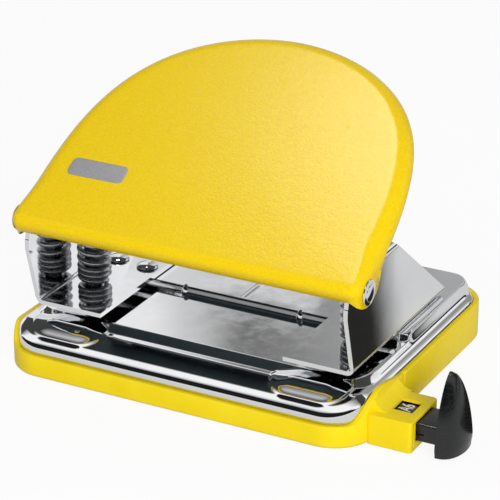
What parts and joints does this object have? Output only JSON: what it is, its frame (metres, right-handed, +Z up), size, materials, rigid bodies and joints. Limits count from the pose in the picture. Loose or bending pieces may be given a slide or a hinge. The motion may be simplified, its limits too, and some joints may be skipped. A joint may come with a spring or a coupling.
{
  "type": "hole punch",
  "caption": "Desk punch for two filing holes, with a D-shaped sprung lever, riveted brackets, punch pins over dies, a chip tray and a sliding paper guide.",
  "frame": {"origin": "middle of the chip tray's footprint, on its underside", "axes": "+X to the user's right, towards the paper guide; +Y away from the side where the paper goes in; +Z up"},
  "size_m": [0.1316, 0.088, 0.0801],
  "materials": {
    "lever_paint": "fine-grained gloss paint",
    "tray_plastic": "satin moulded",
    "chrome": "bright plated",
    "steel": "turned and ground",
    "spring_steel": "dark drawn wire",
    "nylon": "plain",
    "guide_plastic": "satin moulded"
  },
  "bodies": {
    "base": {"chip_tray": "tray_plastic", "base_plate": "chrome", "bracket_left": "chrome", "bracket_right": "chrome", "rivet_left_inner": "chrome", "rivet_left_outer": "chrome", "rivet_right_inner": "chrome", "rivet_right_outer": "chrome", "pivot_rivet_left": "chrome", "pivot_rivet_right": "chrome", "pivot_washer_left": "nylon", "pivot_washer_right": "nylon", "die_left": "steel", "die_right": "steel", "spring_left": "spring_steel", "spring_right": "spring_steel"},
    "lever": {"lever": "lever_paint", "press_bar": "steel"},
    "pin_left": {"punch_pin_left": "steel", "pin_clip_left": "steel"},
    "pin_right": {"punch_pin_right": "steel", "pin_clip_right": "steel"},
    "guide": {"guide_rule": "guide_plastic", "guide_stop": "guide_plastic"}
  },
  "joints": [
    {"name": "lever_press", "type": "hinge", "parent": "base", "child": "lever", "pos_m": [0, -0.0335, 0.041], "axis": [-1, 0, 0], "range_deg": [0, 15], "stiffness_Nm_per_rad": 1, "springref_deg": -17.19},
    {"name": "pin_left_slide", "type": "slide", "parent": "base", "child": "pin_left", "axis": [0, 0, -1], "range_m": [0, 0.0056], "deforming": ["spring_left"]},
    {"name": "pin_right_slide", "type": "slide", "parent": "base", "child": "pin_right", "axis": [0, 0, -1], "range_m": [0, 0.0056], "deforming": ["spring_right"]},
    {"name": "guide_slide", "type": "slide", "parent": "base", "child": "guide", "axis": [1, 0, 0], "range_m": [-0.0045, 0.06]}
  ],
  "couplings": [
    {"joint": "pin_left_slide", "follows": "lever_press", "m_per_rad": 0.02063},
    {"joint": "pin_right_slide", "follows": "lever_press", "m_per_rad": 0.02063}
  ]
}
